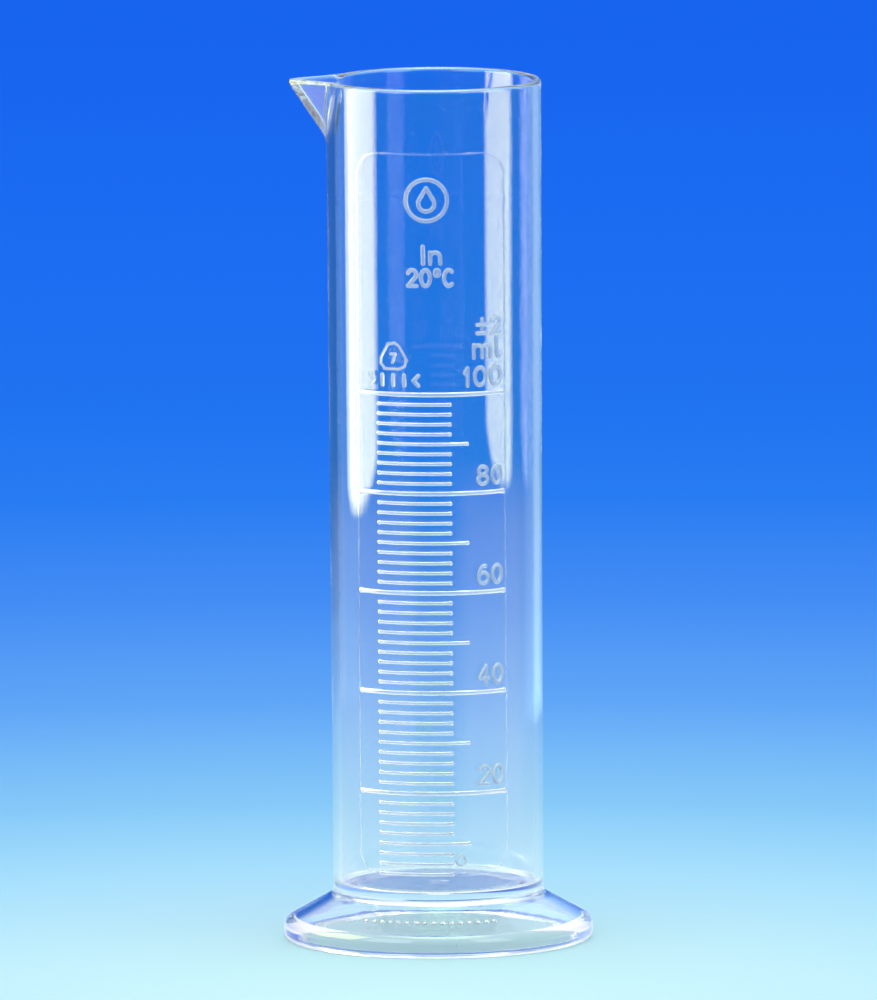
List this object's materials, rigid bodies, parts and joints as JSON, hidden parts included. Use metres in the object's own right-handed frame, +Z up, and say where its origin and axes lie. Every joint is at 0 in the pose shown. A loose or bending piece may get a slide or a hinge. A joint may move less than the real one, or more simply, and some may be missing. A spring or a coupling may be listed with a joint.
{
  "type": "graduated cylinder",
  "caption": "Clear plastic low-form graduated cylinder with a V-shaped pouring spout, raised graduations and numerals, and a wide hollow conical foot.",
  "frame": {"origin": "centre of the foot's underside, on the axis and on the plane that the foot stands on", "axes": "+Z up along the axis of the bore, the scale faces -Y, the spout points to -X"},
  "size_m": [0.058, 0.058, 0.1625],
  "materials": {
    "clear_plastic": "clear, polished by the mould",
    "raised_marks": "clear, raised from the wall, bright at its edges"
  },
  "bodies": {
    "root": {"barrel": "clear_plastic", "rim": "clear_plastic", "pouring_spout": "clear_plastic", "bore_floor": "clear_plastic", "foot_collar": "clear_plastic", "foot_cone": "clear_plastic", "foot_edge": "clear_plastic", "gate_mark": "clear_plastic", "scale_panel_frame": "raised_marks", "main_graduations": "raised_marks", "medium_graduations": "raised_marks", "minor_graduations": "raised_marks", "numeral_20": "raised_marks", "numeral_40": "raised_marks", "numeral_60": "raised_marks", "numeral_80": "raised_marks", "numeral_100": "raised_marks", "unit_mark": "raised_marks", "tolerance_mark": "raised_marks", "calibration_mark": "raised_marks", "maker_emblem": "raised_marks", "recycling_mark": "raised_marks", "material_mark": "raised_marks", "cavity_mark": "raised_marks", "foot_pips": "raised_marks"}
  },
  "joints": []
}
